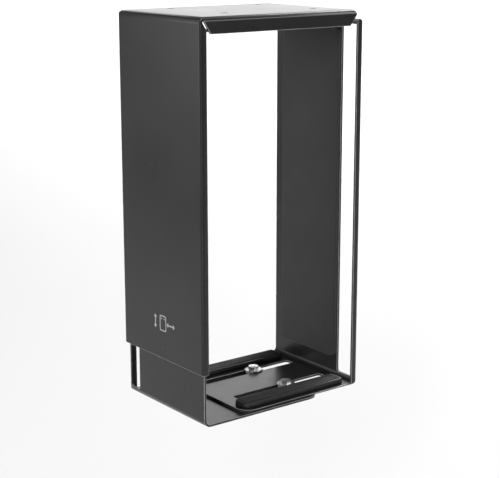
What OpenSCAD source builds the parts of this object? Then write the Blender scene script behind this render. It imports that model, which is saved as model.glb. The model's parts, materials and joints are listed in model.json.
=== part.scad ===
// Height- and width-adjustable under-desk holder for a small tower computer.
// Three folded sheet-steel brackets: a desk bracket (top plate and left panel), and two
// L-shaped lower brackets whose legs overlap to make the tray.
// Millimetres. +Z is up, the open front faces -Y. The origin is the bottom centre of the
// overall box, on the plane that the tray stands on.

/* [Overall] */
// Width over the two side panels
overall_w = 157; // [147:1:167]
// Depth, front to back
overall_d = 110; // [100:1:130]
// Height with the tray fully raised
overall_h = 309; // [291:1:340]

/* [Sheet metal] */
// Thickness of the steel sheet
sheet_t = 2; // [1.5:0.1:2.2]
// Gap between sheets that slide on each other
slide_gap = 0.4; // [0.3:0.05:0.6]
// Outer radius of the desk bracket's main bend
bend_r = 5; // [4:0.5:6]
// Outer radius of the lower brackets' main bends
lower_bend_r = 6; // [4:0.5:6]
// Outer radius of the plate's front and rear bends
plate_bend_r = 4; // [3:0.5:4.5]
// Outer radius of the upright edge bends
lip_bend_r = 2.6; // [2.2:0.1:3.2]

/* [Desk bracket] */
// Width of the top plate, from the left panel's outer face to the right nose
plate_w = 148; // [140:1:152]
// Height of the plate's front and rear lips
plate_lip_h = 12.5; // [9:0.5:16]
// Radius of the rounded nose at the plate's right end
nose_r = 4; // [3:0.5:5]
// Height of the panel's lower edge above the tray plane
panel_bottom_z = 42.5; // [36:0.5:46]
// Depth of the panel's front and rear flanges
panel_flange = 5.5; // [4:0.5:7]
// Screw hole diameter
screw_hole_d = 6.5; // [5:0.1:8]
// Screw spacing, left to right
screw_spacing_x = 85; // [70:1:95]
// Screw spacing, front to back
screw_spacing_y = 70; // [50:1:76]

/* [Lower brackets] */
// Height of each lower bracket
lower_h = 300; // [284:1:330]
// Length of each tray leg
leg_l = 116; // [110:1:120]
// Depth of the flange along one upright edge
lower_flange = 6; // [5.5:0.5:9]
// Depth of the turned-in top edge
top_lip = 9; // [7:0.5:12]
// Width of the left bracket's slots
slot_w = 12.6; // [10:0.2:14]
// Width of the right bracket's slot
right_slot_w = 20.2; // [12:0.2:24]

/* [Height lock] */
// Travel of the lower brackets below the raised position
height_travel = 175; // [100:5:175]
// Stud diameter
height_stud_d = 6; // [5:0.5:6]
// Spacing of the two studs in a slot
height_stud_pitch = 40; // [30:1:40]
// Length of a slide block
slide_block_l = 22; // [16:1:24]

/* [Width lock] */
// How far the right bracket moves in
width_in = 33; // [10:1:33]
// How far the right bracket moves out
width_out = 45; // [10:1:45]
// Stud diameter
tray_stud_d = 5; // [4:0.5:5]
// Spacing of the two tray slots
tray_slot_spacing = 44; // [36:1:48]

/* [Pads] */
// Thickness of the left foam pad, which clears the studs beside it
left_pad_t = 5; // [4.8:0.1:6]
// Thickness of the right foam pad
right_pad_t = 3; // [2:0.1:5]
// Thickness of the rubber pads on the tray
tray_pad_t = 5; // [4.8:0.1:6]

/* [Hidden] */
$fn = 64;
left_x = -overall_w / 2;                           // outer face of the left panel
front_y = -overall_d / 2;
plate_right_x = left_x + plate_w;
panel_in_x = left_x + sheet_t;                     // inner face of the desk bracket's panel
lower_inset = sheet_t + slide_gap;                 // lower brackets nest inside by this much
lower_d = overall_d - 2 * lower_inset;             // depth of the lower brackets
lower_left_x = left_x + lower_inset;               // outer face of the lower left bracket
lower_in_x = lower_left_x + sheet_t;               // its inner face
right_in_x = -left_x - sheet_t;                    // inner face of the right bracket
right_lift = sheet_t + 0.3;                        // the right leg lies on the left one
leg_corner_r = 12;                                 // rounded free corners of a leg

// the slot beside the rear flange starts where the flange's bend ends
rear_lane_y = lower_d / 2 - lip_bend_r - slot_w / 2;
front_lane_y = -36;                                // second slot, behind the desk bracket
front_slot_bottom_z = panel_bottom_z + 4.5;
slot_corner_r = 2;

lower_stud_z = front_slot_bottom_z + 0.5 + slide_block_l / 2;
upper_stud_z = lower_stud_z + height_stud_pitch;
// the second slot ends where the upper block stops at full drop
front_slot_top_z = upper_stud_z + slide_block_l / 2 + height_travel + 0.5;
block_fit = 0.3;                                   // clearance around a slide block
block_t = sheet_t - 0.2;
clamp_t = 1.5;
clamp_end = 9;                                     // clamp plate beyond each stud
height_nut_h = 3;
height_nut_af = 10;
height_stud_end_x = lower_in_x + 0.3 + clamp_t + height_nut_h + 0.05;

tray_stud_x = 28;
tray_block_l = 12;
tray_slot_w = 8.6;
tray_slot_lo = tray_stud_x - tray_block_l / 2 - width_out - 0.5;
tray_slot_hi = tray_stud_x + tray_block_l / 2 + width_in + 0.5;
tray_top_z = right_lift + sheet_t;                 // top face of the right leg
tray_washer_r = 7.5;
tray_washer_t = 1;
tray_nut_h = 2.7;
tray_nut_af = 8;
thread_relief = 0.5;                               // chamfer on stud ends and nuts

screw_centre_x = 4.5;
screw_centre_y = 7;
mitre_run = 8;                                     // lip's left end slants in by this much
nose_cut_run = 6.5;                                // lip's right end slants in by this much

steel_colour = [0.20, 0.20, 0.21];
zinc_colour = [0.72, 0.73, 0.75];
nylon_colour = [0.88, 0.87, 0.83];
foam_colour = [0.06, 0.06, 0.06];

// ---- shared shapes ----

// Quarter ring of sheet about (0, 0): quadrant 0 is +X +Y, and the rest follow anticlockwise.
module bend(r, quadrant) {
    rotate(90 * quadrant) intersection() {
        difference() {
            circle(r);
            circle(r - sheet_t);
        }
        square(r);
    }
}

// Rectangle from `low` to `high` with round corners: radii for low-low, high-low,
// high-high and low-high, anticlockwise. A radius of 0 leaves the corner square.
module rounded_rect(low, high, radii) {
    size = high - low;
    difference() {
        translate(low) square(size);
        for (i = [0 : 3]) if (radii[i] > 0) {
            at = [i == 1 || i == 2 ? high[0] : low[0], i > 1 ? high[1] : low[1]];
            translate(at) rotate(90 * i) corner_cut(radii[i]);
        }
    }
}

// What a round corner of radius r takes away at the origin's +X +Y side.
module corner_cut(r) {
    difference() {
        translate([-1, -1]) square(r + 1);
        translate([r, r]) circle(r);
    }
}

// Extrudes an XZ outline from y0 to y1.
module along_y(y0, y1) {
    translate([0, y1, 0]) rotate([90, 0, 0]) linear_extrude(y1 - y0) children();
}

// Extrudes a YZ outline from x0 to x1.
module along_x(x0, x1) {
    translate([x0, 0, 0]) rotate([90, 0, 90]) linear_extrude(x1 - x0) children();
}

module slot_outline(low, high) {
    rounded_rect(low, high, [slot_corner_r, slot_corner_r, slot_corner_r, slot_corner_r]);
}

// ---- desk bracket ----

// The plate, the left panel and the right nose, seen from the front.
module desk_profile() {
    translate([left_x + bend_r, overall_h - sheet_t])
        square([plate_w - bend_r - nose_r, sheet_t]);
    translate([left_x, panel_bottom_z])
        square([sheet_t, overall_h - bend_r - panel_bottom_z]);
    translate([left_x + bend_r, overall_h - bend_r]) bend(bend_r, 1);
    translate([plate_right_x - nose_r, overall_h - nose_r]) bend(nose_r, 0);
}

// Front face of the folded edges: the plate's lip, and the panel's flange below the mitre.
module desk_edge_outline() {
    lip_z = overall_h - plate_lip_h;
    mitre_x = left_x + 1.2;
    polygon([[mitre_x, overall_h], [mitre_x + mitre_run, lip_z],
             [plate_right_x - nose_cut_run, lip_z],
             [plate_right_x, overall_h - nose_r], [plate_right_x, overall_h]]);
    mitre_slope = plate_lip_h / mitre_run;
    polygon([[left_x, panel_bottom_z], [left_x + panel_flange, panel_bottom_z],
             [left_x + panel_flange, overall_h - 0.8 - panel_flange * mitre_slope],
             [left_x, overall_h - 0.8]]);
}

module screw_holes() {
    for (sx = [-1, 1], sy = [-1, 1])
        translate([screw_centre_x + sx * screw_spacing_x / 2,
                   screw_centre_y + sy * screw_spacing_y / 2, overall_h - sheet_t - 1])
            cylinder(d = screw_hole_d, h = sheet_t + 2);
}

module desk_bracket() {
    color(steel_colour) difference() {
        intersection() {
            union() {
                along_y(front_y, -front_y) desk_profile();
                for (y = [front_y, -front_y - sheet_t])
                    along_y(y, y + sheet_t) desk_edge_outline();
            }
            // rounds the front and rear edges of the plate
            along_x(left_x - 1, plate_right_x + 1)
                rounded_rect([front_y, 0], [-front_y, overall_h],
                             [0, 0, plate_bend_r, plate_bend_r]);
            // rounds the upright edges of the panel, and the nose in front view
            linear_extrude(overall_h + 1)
                rounded_rect([left_x, front_y], [plate_right_x, -front_y],
                             [lip_bend_r, 0, 0, lip_bend_r]);
            along_y(front_y - 1, 1 - front_y)
                rounded_rect([left_x, 0], [plate_right_x, overall_h],
                             [0, 0, nose_r, bend_r]);
        }
        screw_holes();
    }
}

// ---- lower brackets ----

// Panel, leg and top lip seen along Y, with the outer face on x = 0 and the leg on z = 0.
module lower_profile() {
    translate([lower_bend_r, 0]) square([leg_l - lower_bend_r, sheet_t]);
    translate([lower_bend_r, lower_bend_r]) bend(lower_bend_r, 2);
    translate([0, lower_bend_r]) square([sheet_t, lower_h - 2 * lower_bend_r]);
    translate([lower_bend_r, lower_h - lower_bend_r]) bend(lower_bend_r, 1);
    translate([lower_bend_r, lower_h - sheet_t]) square([top_lip - lower_bend_r, sheet_t]);
}

// One lower bracket with its outer face on x = 0, its leg along +X and its flange at +Y.
// `edge_slot` is the width of the tall slot beside the flange.
module lower_bracket(edge_slot) {
    half_d = lower_d / 2;
    difference() {
        intersection() {
            union() {
                along_y(-half_d, half_d) lower_profile();
                translate([0, half_d - sheet_t, 0])
                    cube([lower_flange, sheet_t, lower_h]);
            }
            linear_extrude(lower_h)
                rounded_rect([0, -half_d], [leg_l, half_d],
                             [0, leg_corner_r, leg_corner_r, lip_bend_r]);
            along_x(-1, leg_l + 1)
                rounded_rect([-half_d, 0], [half_d, lower_h],
                             [0, lip_bend_r, lip_bend_r, 0]);
            along_y(-half_d - 1, half_d + 1)
                rounded_rect([0, 0], [leg_l, lower_h], [lower_bend_r, 0, 0, lower_bend_r]);
        }
        along_x(-1, sheet_t + 1)
            slot_outline([half_d - lip_bend_r - edge_slot, lower_bend_r - 0.5],
                         [half_d - lip_bend_r, lower_h - lower_bend_r + 0.5]);
    }
}

module lower_left_bracket() {
    color(steel_colour) difference() {
        translate([lower_left_x, 0, 0]) lower_bracket(slot_w);
        along_x(lower_left_x - 1, lower_in_x + 1)
            slot_outline([front_lane_y - slot_w / 2, front_slot_bottom_z],
                         [front_lane_y + slot_w / 2, front_slot_top_z]);
    }
}

module lower_right_bracket() {
    color(steel_colour) difference() {
        translate([-left_x, 0, right_lift]) rotate([0, 0, 180]) lower_bracket(right_slot_w);
        for (side = [-1, 1])
            translate([0, side * tray_slot_spacing / 2, right_lift - 1])
                linear_extrude(sheet_t + 2)
                    slot_outline([tray_slot_lo, -tray_slot_w / 2],
                                 [tray_slot_hi, tray_slot_w / 2]);
    }
}

// ---- height lock: everything in one upright slot ----

// A solid turned about X: radius r from x0 to x1, with a chamfer at the x1 end.
module x_rod(r, x0, x1, chamfer) {
    translate([x0, 0, 0]) rotate([0, 90, 0]) rotate_extrude()
        polygon([[0, 0], [r, 0], [r, x1 - x0 - chamfer], [r - chamfer, x1 - x0], [0, x1 - x0]]);
}

module hex_ring(across_flats, h, bore_d) {
    corner_d = across_flats / cos(30);
    difference() {
        intersection() {
            cylinder(d = corner_d, h = h, $fn = 6);
            // rounds off the six corners at the top
            rotate_extrude() polygon([[0, 0], [corner_d / 2 + 0.1, 0],
                [corner_d / 2 + 0.1, h - thread_relief], [across_flats / 2, h], [0, h]]);
        }
        translate([0, 0, -1]) cylinder(d = bore_d, h = h + 2);
    }
}

module at_height_studs(lane_y) {
    for (z = [lower_stud_z, upper_stud_z]) translate([0, lane_y, z]) children();
}

module height_studs(lane_y) {
    color(zinc_colour) at_height_studs(lane_y) {
        x_rod(height_stud_d / 2, panel_in_x, height_stud_end_x, thread_relief);
        x_rod(height_stud_d / 2 + 1, panel_in_x, panel_in_x + 0.35, 0.1);
    }
}

module slide_blocks(lane_y) {
    block_w = slot_w - 2 * block_fit;
    x0 = lower_left_x + 0.1;
    color(nylon_colour) at_height_studs(lane_y) difference() {
        along_x(x0, x0 + block_t)
            rounded_rect([-block_w / 2, -slide_block_l / 2], [block_w / 2, slide_block_l / 2],
                         [1.5, 1.5, 1.5, 1.5]);
        x_rod(height_stud_d / 2 + 0.05, x0 - 1, x0 + block_t + 1, 0.1);
    }
}

// A clamp plate bears on the panel beside the slot, from y0 to y1.
module clamp_plate(lane_y, y0, y1) {
    x0 = lower_in_x + 0.3;
    color(zinc_colour) difference() {
        along_x(x0, x0 + clamp_t)
            rounded_rect([y0, lower_stud_z - clamp_end], [y1, upper_stud_z + clamp_end],
                         [2, 2, 2, 2]);
        at_height_studs(lane_y) x_rod(height_stud_d / 2 + 0.05, x0 - 1, x0 + clamp_t + 1, 0.1);
    }
}

module height_nuts(lane_y) {
    x0 = lower_in_x + 0.3 + clamp_t;
    color(zinc_colour) at_height_studs(lane_y)
        translate([x0, 0, 0]) rotate([0, 90, 0])
            hex_ring(height_nut_af, height_nut_h, height_stud_d + 0.1);
}

module front_height_studs() height_studs(front_lane_y);
module rear_height_studs() height_studs(rear_lane_y);
module front_slide_blocks() slide_blocks(front_lane_y);
module rear_slide_blocks() slide_blocks(rear_lane_y);
module front_clamp_plate()
    clamp_plate(front_lane_y, front_lane_y - 10.5, front_lane_y + 8.5);
module rear_clamp_plate()
    clamp_plate(rear_lane_y, rear_lane_y - 13, rear_lane_y + slot_w / 2 - 0.4);
module front_height_nuts() height_nuts(front_lane_y);
module rear_height_nuts() height_nuts(rear_lane_y);

// ---- width lock: everything on one tray stud; side is -1 in front and 1 behind ----

module at_tray_stud(side) {
    translate([tray_stud_x, side * tray_slot_spacing / 2, 0]) children();
}

module tray_stud(side) {
    top_z = tray_top_z + 0.3 + tray_washer_t + tray_nut_h + 0.2;
    r = tray_stud_d / 2;
    color(zinc_colour) at_tray_stud(side) translate([0, 0, sheet_t]) rotate_extrude()
        polygon([[0, 0], [r, 0], [r, top_z - sheet_t - thread_relief],
                 [r - thread_relief, top_z - sheet_t], [0, top_z - sheet_t]]);
}

module tray_block(side) {
    half_w = tray_slot_w / 2 - block_fit;
    color(nylon_colour) at_tray_stud(side) difference() {
        translate([0, 0, right_lift + 0.1]) linear_extrude(block_t)
            rounded_rect([-tray_block_l / 2, -half_w], [tray_block_l / 2, half_w],
                         [1.5, 1.5, 1.5, 1.5]);
        cylinder(d = tray_stud_d + 0.1, h = tray_top_z + 1);
    }
}

module tray_washer(side) {
    color(zinc_colour) at_tray_stud(side) translate([0, 0, tray_top_z + 0.3]) difference() {
        rotate_extrude() polygon([[0, 0], [tray_washer_r, 0],
            [tray_washer_r, tray_washer_t - 0.2], [tray_washer_r - 0.2, tray_washer_t],
            [0, tray_washer_t]]);
        translate([0, 0, -1]) cylinder(d = tray_stud_d + 0.2, h = tray_washer_t + 2);
    }
}

module tray_nut(side) {
    color(zinc_colour) at_tray_stud(side)
        translate([0, 0, tray_top_z + 0.3 + tray_washer_t])
            hex_ring(tray_nut_af, tray_nut_h, tray_stud_d + 0.1);
}

module front_tray_stud() tray_stud(-1);
module rear_tray_stud() tray_stud(1);
module front_tray_block() tray_block(-1);
module rear_tray_block() tray_block(1);
module front_tray_washer() tray_washer(-1);
module rear_tray_washer() tray_washer(1);
module front_tray_nut() tray_nut(-1);
module rear_tray_nut() tray_nut(1);

// ---- pads ----

// A side pad from x0 to x1, with round corners: low and high are its Y and Z limits.
module side_pad(x0, x1, low, high) {
    color(foam_colour) along_x(x0, x1) rounded_rect(low, high, [6, 6, 6, 6]);
}

// A tray pad glued to the right leg, centred on y.
module tray_pad(y) {
    color(foam_colour) translate([0, y, tray_top_z]) linear_extrude(tray_pad_t)
        rounded_rect([right_in_x - 110, -8], [right_in_x - 8, 8], [4, 4, 4, 4]);
}

module left_side_pad()
    side_pad(lower_in_x, lower_in_x + left_pad_t, [-26, 20], [26, lower_h - 14]);
module right_side_pad()
    side_pad(right_in_x - right_pad_t, right_in_x,
             [-lower_d / 2 + lip_bend_r + right_slot_w + 1, 20], [42, lower_h - 6]);
module front_tray_pad() tray_pad(-40);
module rear_tray_pad() tray_pad(40);

desk_bracket();
lower_left_bracket();
lower_right_bracket();
front_height_studs();
rear_height_studs();
front_slide_blocks();
rear_slide_blocks();
front_clamp_plate();
rear_clamp_plate();
front_height_nuts();
rear_height_nuts();
front_tray_stud();
rear_tray_stud();
front_tray_block();
rear_tray_block();
front_tray_washer();
rear_tray_washer();
front_tray_nut();
rear_tray_nut();
left_side_pad();
right_side_pad();
front_tray_pad();
rear_tray_pad();
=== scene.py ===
"""Looks for the under-desk computer holder: powder-coated sheet steel, zinc-plated fasteners,
nylon slide blocks, foam side pads and ribbed rubber tray pads."""

import json
import math

import bmesh
import bpy
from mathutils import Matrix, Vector


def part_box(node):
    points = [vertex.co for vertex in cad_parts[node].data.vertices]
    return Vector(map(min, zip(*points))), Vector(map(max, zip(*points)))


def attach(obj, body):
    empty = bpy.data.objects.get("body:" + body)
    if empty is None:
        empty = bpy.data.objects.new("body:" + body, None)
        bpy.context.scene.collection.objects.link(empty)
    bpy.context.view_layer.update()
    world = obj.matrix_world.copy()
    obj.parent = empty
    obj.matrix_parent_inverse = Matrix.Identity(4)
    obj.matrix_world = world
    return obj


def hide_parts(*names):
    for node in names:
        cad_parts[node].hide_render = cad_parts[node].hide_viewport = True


MM = 0.001

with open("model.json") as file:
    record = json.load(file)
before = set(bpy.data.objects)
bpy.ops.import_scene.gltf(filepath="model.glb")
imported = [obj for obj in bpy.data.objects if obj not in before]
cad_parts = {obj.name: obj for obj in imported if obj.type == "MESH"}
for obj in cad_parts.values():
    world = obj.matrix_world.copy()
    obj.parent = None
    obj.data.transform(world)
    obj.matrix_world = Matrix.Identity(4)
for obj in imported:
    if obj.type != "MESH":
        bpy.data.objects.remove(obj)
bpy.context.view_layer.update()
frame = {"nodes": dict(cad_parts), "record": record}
nodes = frame["nodes"]


# ---------------------------------------------------------------- node helpers


class Nodes:
    """A short way to write a shader: makes nodes and links them in one material or world."""

    def __init__(self, owner):
        owner.use_nodes = True
        self.tree = owner.node_tree
        self.tree.nodes.clear()

    def add(self, kind, inputs=None, **settings):
        node = self.tree.nodes.new(kind)
        for name, value in settings.items():
            setattr(node, name, value)
        for name, value in (inputs or {}).items():
            self.put(node, name, value)
        return node

    def put(self, node, name, value):
        if isinstance(value, bpy.types.NodeSocket):
            self.tree.links.new(value, node.inputs[name])
        else:
            node.inputs[name].default_value = value

    def place(self):
        """The point on the piece, in metres, in the frame's own axes."""
        return self.add("ShaderNodeTexCoord").outputs["Object"]

    def noise(self, scale, detail=2.0, roughness=0.5, vector=None):
        node = self.add("ShaderNodeTexNoise", {
            "Vector": vector or self.place(), "Scale": scale, "Detail": detail,
            "Roughness": roughness})
        return node.outputs["Fac"]

    def spread(self, value, low, high, to_low, to_high):
        """Maps value from low..high to to_low..to_high, held at both ends."""
        node = self.add("ShaderNodeMapRange", {
            "Value": value, "From Min": low, "From Max": high,
            "To Min": to_low, "To Max": to_high})
        return node.outputs["Result"]

    def mix(self, factor, a, b):
        node = self.add("ShaderNodeMix", {0: factor, 6: a, 7: b}, data_type="RGBA")
        return node.outputs[2]

    def stretched(self, scale):
        """The place, with each axis scaled, so that a pattern on it is drawn out."""
        node = self.add("ShaderNodeMapping", {"Vector": self.place(), "Scale": scale})
        return node.outputs["Vector"]

    def bump(self, height, strength, distance, under=None):
        """A bump of the given height map, distance metres deep, over the bump given as under."""
        inputs = {"Height": height, "Strength": strength, "Distance": distance}
        if under is not None:
            inputs["Normal"] = under
        return self.add("ShaderNodeBump", inputs).outputs["Normal"]

    def surface(self, **inputs):
        """The Principled surface and its output; an underscore stands for a space in a socket's
        name."""
        shader = self.add("ShaderNodeBsdfPrincipled",
                          {name.replace("_", " "): v for name, v in inputs.items()})
        out = self.add("ShaderNodeOutputMaterial")
        self.tree.links.new(shader.outputs[0], out.inputs["Surface"])


def grey(level):
    return (level, level, level, 1.0)


# ---------------------------------------------------------------- materials


def orange_peel(n):
    """The fine wavy skin of powder coat."""
    return n.bump(n.noise(900, 2, 0.5), 0.08, 0.12 * MM)


def powder_coat():
    """Black satin powder coat: an orange-peel skin with fine specks and an uneven gloss."""
    material = bpy.data.materials.new("powder_coat")
    n = Nodes(material)
    cloud = n.noise(14, 3)
    speck = n.noise(2600, 2, 0.6)
    patchy = n.noise(55, 5, 0.65, n.stretched((1, 1, 0.25)))
    colour = n.mix(n.spread(cloud, 0.3, 0.7, 0, 1), grey(0.011), grey(0.016))
    colour = n.mix(n.spread(speck, 0.60, 0.74, 0, 0.35), colour, grey(0.045))
    gloss = n.spread(cloud, 0.3, 0.7, 0.27, 0.31)
    roughness = n.spread(patchy, 0.60, 0.80, gloss, 0.37)
    grain = n.bump(speck, 0.12, 0.04 * MM, orange_peel(n))
    n.surface(Base_Color=colour, Roughness=roughness, Normal=grain, IOR=1.4)
    return material


def painted_edge_highlight():
    """The same coat on the broken cut edges: glossier, with a light grey base colour that is a
    painted highlight, a little patchy.
    """
    material = bpy.data.materials.new("painted_edge_highlight")
    n = Nodes(material)
    # The light grey base colour is a painted highlight along the broken edges, patchy from
    # noise.
    patchy = n.spread(n.noise(160, 4, 0.6), 0.35, 0.65, 0, 1)
    n.surface(Base_Color=n.mix(patchy, grey(0.20), grey(0.32)), Roughness=0.3, IOR=1.5,
              Normal=orange_peel(n))
    return material


def zinc_plate():
    """Bright zinc plate: fine brushing, with the faint blue and yellow cast of plating."""
    material = bpy.data.materials.new("zinc_plate")
    n = Nodes(material)
    cast = n.spread(n.noise(120, 3), 0.35, 0.65, 0, 1)
    brushed = n.noise(400, 3, 0.6, n.stretched((1, 1, 9)))
    colour = n.mix(cast, (0.56, 0.58, 0.62, 1), (0.66, 0.64, 0.58, 1))
    roughness = n.spread(brushed, 0.3, 0.7, 0.24, 0.42)
    n.surface(Base_Color=colour, Metallic=1.0, Roughness=roughness,
              Normal=n.bump(brushed, 0.2, 0.03 * MM))
    return material


def nylon():
    """Natural nylon: off-white, slightly see-through, with a moulded skin."""
    material = bpy.data.materials.new("nylon")
    n = Nodes(material)
    tint = n.spread(n.noise(200, 2), 0.35, 0.65, 0, 1)
    colour = n.mix(tint, (0.70, 0.68, 0.60, 1), (0.78, 0.76, 0.70, 1))
    n.surface(Base_Color=colour, Roughness=n.spread(n.noise(700, 2), 0.3, 0.7, 0.4, 0.55),
              Subsurface_Weight=0.15, Subsurface_Radius=(2 * MM, 2 * MM, 1.5 * MM),
              Normal=n.bump(n.noise(1800, 2), 0.1, 0.03 * MM))
    return material


def foam():
    """Black closed-cell foam: matt, with a fine pitted skin of cut cells."""
    material = bpy.data.materials.new("foam")
    n = Nodes(material)
    cells = n.add("ShaderNodeTexVoronoi", {"Vector": n.place(), "Scale": 900.0},
                  feature="F1").outputs["Distance"]
    pits = n.spread(cells, 0.05, 0.35, 0, 1)
    # Darker in the pits, where the bump is low: painted shade in the hollows of the cells.
    colour = n.mix(pits, grey(0.006), grey(0.020))
    colour = n.mix(n.spread(n.noise(40, 3), 0.35, 0.7, 0, 0.4), colour, grey(0.030))
    n.surface(Base_Color=colour, Roughness=n.spread(pits, 0, 1, 0.95, 0.8),
              Sheen_Weight=0.15, Normal=n.bump(pits, 0.5, 0.2 * MM))
    return material


def rubber():
    """Black moulded rubber, with light scuffs where the computer's feet slide."""
    material = bpy.data.materials.new("rubber")
    n = Nodes(material)
    scuffs = n.noise(90, 4, 0.6, n.stretched((0.35, 4, 1)))
    colour = n.mix(n.spread(scuffs, 0.56, 0.75, 0, 0.5), grey(0.012), grey(0.05))
    n.surface(Base_Color=colour, Roughness=n.spread(scuffs, 0.4, 0.7, 0.55, 0.75),
              Normal=n.bump(n.noise(1500, 2), 0.2, 0.05 * MM))
    return material


def print_ink():
    """Light grey printed ink, slightly uneven over the powder coat."""
    material = bpy.data.materials.new("print_ink")
    n = Nodes(material)
    cover = n.spread(n.noise(1500, 2), 0.35, 0.65, 0, 1)
    n.surface(Base_Color=n.mix(cover, grey(0.36), grey(0.44)), Roughness=0.5,
              Normal=n.bump(cover, 0.1, 0.02 * MM))
    return material


# ---------------------------------------------------------------- CAD nodes


WELD_GAP = 0.002 * MM
FLAT_WITHIN = math.radians(0.5)     # faces this near one plane become one face
FOLD_LIMIT = 55                     # degrees: keeps the sheet's bends, breaks its cut edges
FASTENER_LIMIT = 32                 # degrees: breaks a hexagon's edges too
BEVEL_SEGMENTS = 2


def soften_edges(node, width, limit, clamp):
    """Breaks the edges sharper than limit degrees on a CAD piece, as deburring does."""
    weld = node.modifiers.new("weld", "WELD")
    weld.merge_threshold = WELD_GAP
    flat = node.modifiers.new("flat_faces", "DECIMATE")
    flat.decimate_type = "DISSOLVE"
    flat.angle_limit = FLAT_WITHIN
    bevel = node.modifiers.new("edges", "BEVEL")
    bevel.offset_type = "WIDTH"
    bevel.width = width
    bevel.segments = BEVEL_SEGMENTS
    bevel.limit_method = "ANGLE"
    bevel.angle_limit = math.radians(limit)
    bevel.miter_outer = "MITER_ARC"
    bevel.use_clamp_overlap = clamp
    normals = node.modifiers.new("normals", "WEIGHTED_NORMAL")
    normals.keep_sharp = True


def finish_cad(names, material, width, limit=FASTENER_LIMIT, clamp=True, edge_material=None):
    """Gives the nodes a material and broken edges, whose narrow faces may have their own."""
    for name in names:
        node = nodes[name]
        node.data.materials.clear()
        node.data.materials.append(material)
        soften_edges(node, width, limit, clamp)
        if edge_material:
            node.data.materials.append(edge_material)
            node.modifiers["edges"].material = 1


def both_ends(kinds):
    return [f"{end}_{kind}" for end in ("front", "rear") for kind in kinds]


sheet_steel = ["desk_bracket", "lower_left_bracket", "lower_right_bracket"]
fasteners = both_ends(("height_studs", "clamp_plate", "height_nuts",
                       "tray_stud", "tray_washer", "tray_nut"))
# The sheet steel's broken edges get a light grey edge material, a painted highlight.
finish_cad(sheet_steel, powder_coat(), 0.5 * MM, FOLD_LIMIT, clamp=False,
           edge_material=painted_edge_highlight())
finish_cad(fasteners, zinc_plate(), 0.12 * MM)
finish_cad(both_ends(("slide_blocks", "tray_block")), nylon(), 0.2 * MM)


# ---------------------------------------------------------------- mesh helpers


def mesh_piece(name, build, material):
    """A new smooth piece: build fills a bmesh in the frame's axes, in metres."""
    mesh = bpy.data.meshes.new(name)
    bm = bmesh.new()
    build(bm)
    bmesh.ops.recalc_face_normals(bm, faces=bm.faces)
    for face in bm.faces:
        face.smooth = True
    bm.to_mesh(mesh)
    bm.free()
    mesh.materials.append(material)
    piece = bpy.data.objects.new(name, mesh)
    bpy.context.scene.collection.objects.link(piece)
    return piece


def round_outline(low, high, r, steps=8):
    """Points round a rectangle with round corners, anticlockwise."""
    centres = ((high[0] - r, high[1] - r), (low[0] + r, high[1] - r),
               (low[0] + r, low[1] + r), (high[0] - r, low[1] + r))
    points = []
    for corner, (cx, cy) in enumerate(centres):
        for i in range(steps + 1):
            a = math.pi / 2 * (corner + i / steps)
            points.append((cx + r * math.cos(a), cy + r * math.sin(a)))
    return points


def fill_rings(bm, rings):
    """Joins rings of equal length in order, and closes the first and the last with a fan."""
    made = [[bm.verts.new(p) for p in ring] for ring in rings]
    count = len(made[0])
    for a, b in zip(made, made[1:]):
        for i in range(count):
            j = (i + 1) % count
            bm.faces.new((a[i], a[j], b[j], b[i]))
    for ring in (made[0], made[-1]):
        middle = bm.verts.new(sum((v.co for v in ring), Vector()) / count)
        for i in range(count):
            bm.faces.new((ring[i], ring[(i + 1) % count], middle))


# ---------------------------------------------------------------- foam side pads


def foam_pad(name, node, body, facing, material):
    """A die-cut foam pad glued to a side panel. facing is 1 where it faces +X, else -1.
    Its cut sides pull in a little, and its face is crowned, with a soft round edge."""
    low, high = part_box(node)
    glued = low.x if facing > 0 else high.x
    thick = high.x - low.x
    corner_r, least_corner_r, edge_r = 6 * MM, 0.3 * MM, 1.2 * MM
    crown, crown_step, steps = 0.35 * MM, 2.2 * MM, 6
    # Each step of the profile is (depth from the panel, how far in from the outline).
    side = [(0.0, 0.0), (0.15, 0.0), (0.35, 0.25), (0.55, 0.25)]    # share of the side, mm in
    profile = [(share * (thick - edge_r - crown), inset * MM) for share, inset in side]
    for i in range(steps + 1):
        a = math.pi / 2 * i / steps
        profile.append((thick - crown - edge_r * (1 - math.sin(a)),
                        edge_r * (1 - math.cos(a))))
    for i in range(1, steps + 1):
        rise = 1 - (1 - i / steps) ** 2
        profile.append((thick - crown * (1 - rise), edge_r + i * crown_step))

    def build(bm):
        rings = []
        for depth, inset in profile:
            r = max(corner_r - inset, least_corner_r)
            ring = round_outline((low.y + inset, low.z + inset),
                                 (high.y - inset, high.z - inset), r)
            rings.append([Vector((glued + facing * depth, y, z)) for y, z in ring])
        fill_rings(bm, rings)

    pad = mesh_piece(name, build, material)
    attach(pad, body)
    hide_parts(node)


foam_black = foam()
foam_pad("left_foam_pad", "left_side_pad", "left_bracket", 1, foam_black)
foam_pad("right_foam_pad", "right_side_pad", "right_bracket", -1, foam_black)


# ---------------------------------------------------------------- ribbed tray pads


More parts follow.
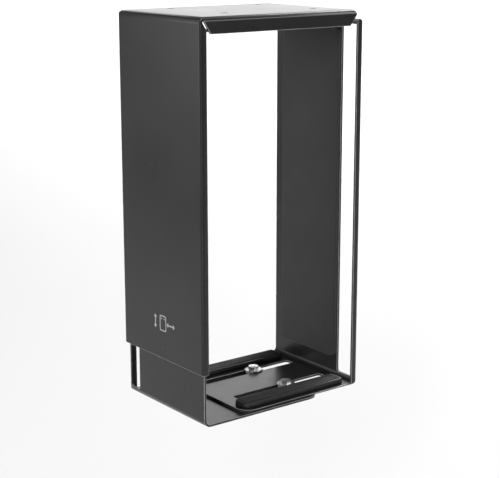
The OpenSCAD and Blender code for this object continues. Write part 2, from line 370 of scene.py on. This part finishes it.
def ribbed_pad(name, node, body, material):
    """A moulded rubber strip with round ribs along it, and a plain sloped border."""
    low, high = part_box(node)
    height = high.z - low.z
    border, rib_count, rib_rise, corner_r = 2.2 * MM, 5, 0.9 * MM, 4 * MM
    rib_pitch = (high.y - low.y - 2 * border) / rib_count
    base_top = height - rib_rise
    # Each step of the side is (height, how far in from the outline).
    side = ((0, 0.0), (0.55 * base_top, 0.15 * MM), (base_top - 0.5 * MM, 0.35 * MM),
            (base_top - 0.12 * MM, 0.5 * MM), (base_top, 0.85 * MM))

    def build(bm):
        rings = []
        for depth, inset in side:
            ring = round_outline((low.x + inset, low.y + inset),
                                 (high.x - inset, high.y - inset), corner_r - inset)
            rings.append([Vector((x, y, low.z + depth)) for x, y in ring])
        fill_rings(bm, rings)
        for k in range(rib_count):
            rib(bm, low.y + border + (k + 0.5) * rib_pitch)

    def rib(bm, y):
        """One half-round rib with round ends, sunk a little into the strip."""
        half_w, sink, steps, crest = 0.36 * rib_pitch, 0.3 * MM, 8, 0.12
        rings = []
        x0, x1 = low.x + border + half_w, high.x - border - half_w
        for i in range(steps + 1):
            a = math.pi / 2 * i / steps
            w = half_w * (math.cos(a) if i < steps else crest)
            z = low.z + base_top - sink + (rib_rise + sink) * math.sin(a)
            end_r = w * 0.999     # a hair under w, so that no two points of the ring meet
            ring = round_outline((x0 - w, y - w), (x1 + w, y + w), end_r, 6)
            rings.append([Vector((px, py, z)) for px, py in ring])
        fill_rings(bm, rings)

    pad = mesh_piece(name, build, material)
    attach(pad, body)
    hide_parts(node)


rubber_black = rubber()
for end in ("front", "rear"):
    ribbed_pad(f"{end}_ribbed_pad", f"{end}_tray_pad", "right_bracket", rubber_black)


# ---------------------------------------------------------------- printed mark


def turned(points, turns):
    """Points turned about the origin by quarter turns."""
    for _ in range(turns):
        points = [(-y, x) for x, y in points]
    return points


def double_arrow(length, half_w, stem_w):
    """Outline of an arrow with a head at each end, along X, centred on the origin. Heads are
    half_w across to each side, and the stem stem_w."""
    half, head = length / 2, half_w * 1.1
    right = [(half - head, -stem_w), (half - head, -half_w), (half, 0.0),
             (half - head, half_w), (half - head, stem_w)]
    return right + [(-x, -y) for x, y in right]


def printed_mark(material):
    """Small generic pictograms on the outer face: a tower computer between a height arrow
    and a width arrow. The drawing is in mm, with x to the right as seen from outside."""
    low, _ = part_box("desk_bracket")
    face_x, proud, sunk = low.x, 0.06 * MM, -0.05 * MM
    centre_y, centre_z = -1.5 * MM, low.z + 29 * MM
    arrow = double_arrow(11, 2.1, 0.55)
    # Each solid shape is (how far right of the centre, its outline).
    shapes = [
        (-10.5, turned(arrow, 1)),                              # height
        (10.5, arrow),                                          # width
        (0, round_outline((1.1, 3.2), (2.7, 4.0), 0.3, 3)),     # drive slot
        (0, round_outline((-2.8, 2.9), (-1.6, 4.1), 0.55, 4)),  # button
    ]
    outside = round_outline((-4.4, -6.3), (4.4, 6.3), 1.5, 5)
    inside = round_outline((-3.5, -5.4), (3.5, 5.4), 0.7, 5)
    case = ((outside, sunk), (outside, proud), (inside, proud), (inside, sunk))

    def ring(bm, points, shift, depth):
        return [bm.verts.new((face_x - depth, centre_y - (x + shift) * MM, centre_z + z * MM))
                for x, z in points]

    def wall(bm, a, b):
        for i in range(len(a)):
            j = (i + 1) % len(a)
            bm.faces.new((a[i], a[j], b[j], b[i]))

    def build(bm):
        for shift, points in shapes:
            bottom, top = (ring(bm, points, shift, depth) for depth in (sunk, proud))
            wall(bm, bottom, top)
            bm.faces.new(top)
            bm.faces.new(bottom)
        corners = [ring(bm, points, 0, depth) for points, depth in case]
        for a, b in zip(corners, corners[1:] + corners[:1]):
            wall(bm, a, b)

    mark = mesh_piece("printed_mark", build, material)
    for face in mark.data.polygons:
        face.use_smooth = False
    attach(mark, "desk_bracket")


printed_mark(print_ink())


# ---------------------------------------------------------------- stage


def studio_floor():
    """A plain pale floor that curves up far off on every side. The holder hangs over it, high
    enough to drop to the end of its travel with a little to spare."""
    flat_r, curve_r, rim_z = 9.0, 6.0, 9.0
    steps, sides, spare = 24, 96, 8 * MM
    slides = {joint["name"]: joint for joint in frame["record"]["behaviour"]["joints"]}
    floor_z = slides["height_slide"]["range_m"][0] - spare
    profile = [(flat_r, 0.0)]
    for i in range(1, steps + 1):
        a = math.pi / 2 * i / steps
        profile.append((flat_r + curve_r * math.sin(a), curve_r * (1 - math.cos(a))))
    profile.append((flat_r + curve_r, rim_z))
    mesh = bpy.data.meshes.new("floor")
    bm = bmesh.new()
    rings = []
    for r, z in profile:
        turns = [math.tau * k / sides for k in range(sides)]
        rings.append([bm.verts.new((r * math.cos(a), r * math.sin(a), z)) for a in turns])
    bm.faces.new(rings[0]).smooth = True
    for a, b in zip(rings, rings[1:]):
        for k in range(sides):
            j = (k + 1) % sides
            bm.faces.new((a[k], a[j], b[j], b[k])).smooth = True
    bmesh.ops.recalc_face_normals(bm, faces=bm.faces)
    bm.to_mesh(mesh)
    bm.free()
    material = bpy.data.materials.new("floor")
    n = Nodes(material)
    n.surface(Base_Color=grey(0.80), Roughness=0.9)
    mesh.materials.append(material)
    floor = bpy.data.objects.new("floor", mesh)
    bpy.context.scene.collection.objects.link(floor)
    floor.location.z = floor_z


def soft_light(name, at, target, size, power):
    """A rectangle of light in watts, metres wide and high, that the camera doesn't see."""
    light = bpy.data.lights.new(name, "AREA")
    light.shape = "RECTANGLE"
    light.size, light.size_y = size
    light.energy = power
    lamp = bpy.data.objects.new(name, light)
    lamp.location = at
    lamp.rotation_euler = (Vector(target) - Vector(at)).to_track_quat("-Z", "Y").to_euler()
    lamp.visible_camera = False
    bpy.context.scene.collection.objects.link(lamp)


def studio_light():
    """Big soft lights behind for the background and the top plate, small ones nearer for the
    panel, the lip and the edges, and a faint even sky."""
    middle = (0, 0, 0.15)
    behind, far_behind = (0.9, 1.3, 0), (5.2, 6.9, 0)
    soft_light("back_wall", (5.5, 7.2, 2.6), middle, (12, 4.4), 280)
    soft_light("back_high", (3.4, 1.4, 2.8), behind, (1.8, 1.8), 190)
    soft_light("far_floor", (4.2, 5.6, 3.2), far_behind, (3.0, 3.0), 170)
    soft_light("left_near", (-0.98, 0.69, 0.5), middle, (0.7, 0.9), 5)
    soft_light("right_front", (1.0, -1.05, 1.06), middle, (0.6, 0.6), 12)
    soft_light("edge_strip", (-1.5, -1.1, 0.5), middle, (0.35, 1.4), 18)
    world = bpy.data.worlds.new("studio")
    bpy.context.scene.world = world
    n = Nodes(world)
    sky = n.add("ShaderNodeBackground", {"Color": grey(1.0), "Strength": 0.12})
    out = n.add("ShaderNodeOutputWorld")
    n.tree.links.new(sky.outputs[0], out.inputs["Surface"])


def camera():
    """The photograph's angle: left of the front, a little above the top plate."""
    azimuth, elevation = math.radians(-37.434), math.radians(13.468)
    place = Vector((-618.65, -818.07, 372.72)) * MM
    back = Vector((math.sin(azimuth) * math.cos(elevation),
                   -math.cos(azimuth) * math.cos(elevation), math.sin(elevation)))
    data = bpy.data.cameras.new("camera")
    data.sensor_width = 36          # mm
    data.lens = 94.74               # mm
    data.clip_start, data.clip_end = 0.05, 50
    cam = bpy.data.objects.new("camera", data)
    cam.location = place
    cam.rotation_euler = (-back).to_track_quat("-Z", "Y").to_euler()
    bpy.context.scene.collection.objects.link(cam)
    bpy.context.scene.camera = cam


studio_floor()
studio_light()
camera()
bpy.context.scene.view_settings.view_transform = "Standard"
